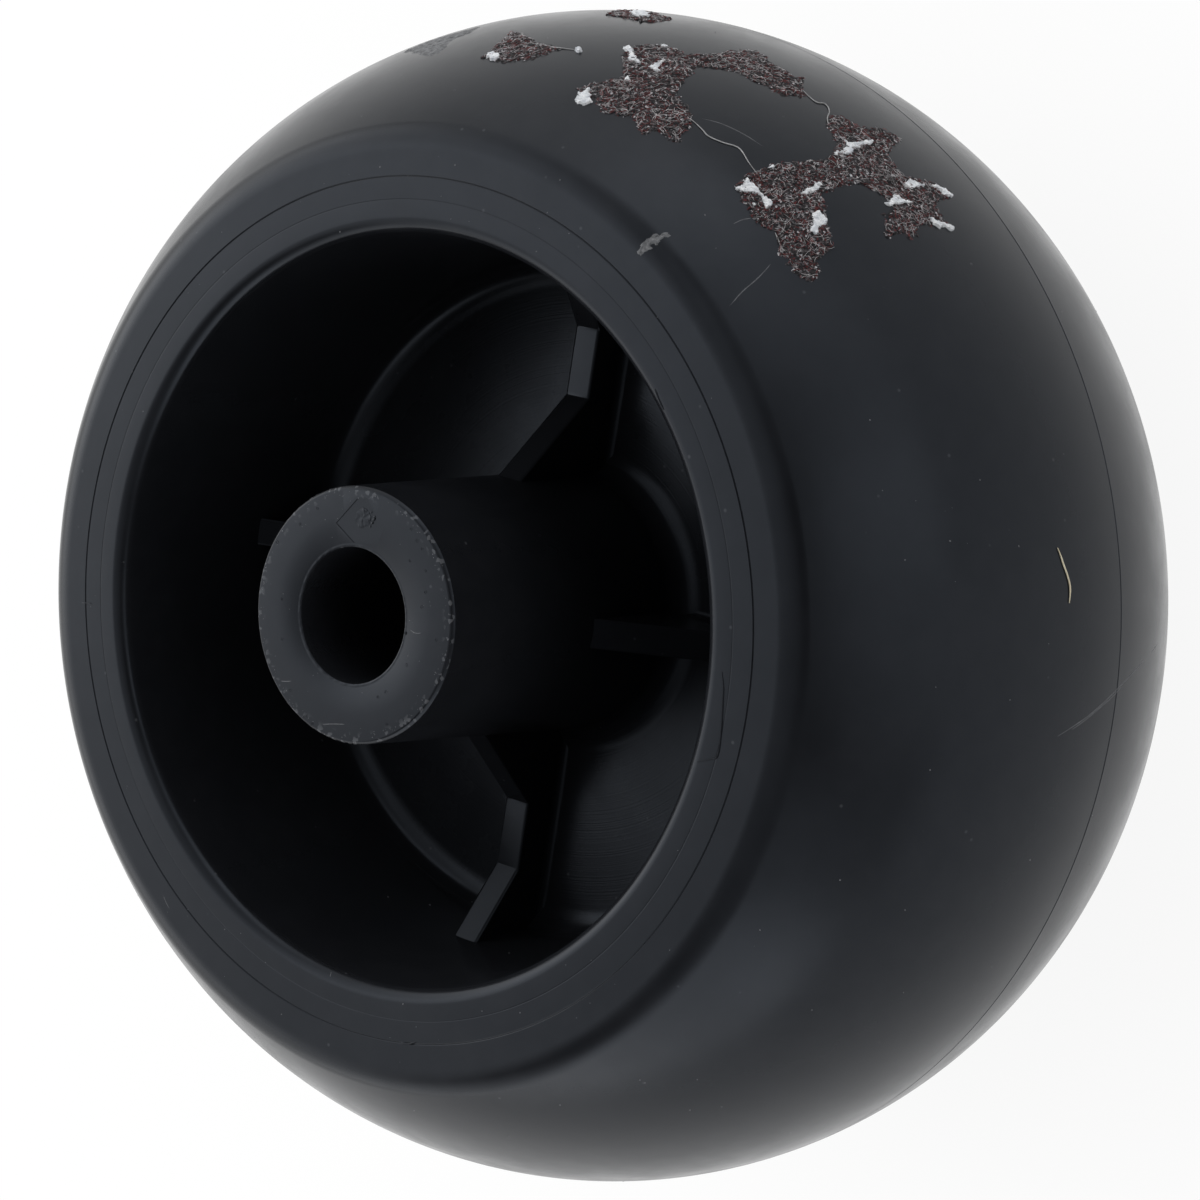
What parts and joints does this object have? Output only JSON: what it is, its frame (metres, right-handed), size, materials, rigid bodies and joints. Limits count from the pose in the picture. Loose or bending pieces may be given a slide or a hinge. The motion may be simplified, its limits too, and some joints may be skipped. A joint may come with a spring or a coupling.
{
  "type": "mower deck gauge wheel",
  "caption": "Wide crowned wheel moulded in one piece of black plastic, with a deep ribbed cavity on each side and a long plain-bored hub.",
  "frame": {"origin": "middle of the bore, half way between the two end faces of the hub", "axes": "+Z along the bore, out of the side that the picture shows; +X and +Y along ribs"},
  "size_m": [0.127, 0.127, 0.0816],
  "materials": {
    "plastic": "satin"
  },
  "bodies": {
    "root": {"wheel": "plastic"}
  },
  "joints": []
}
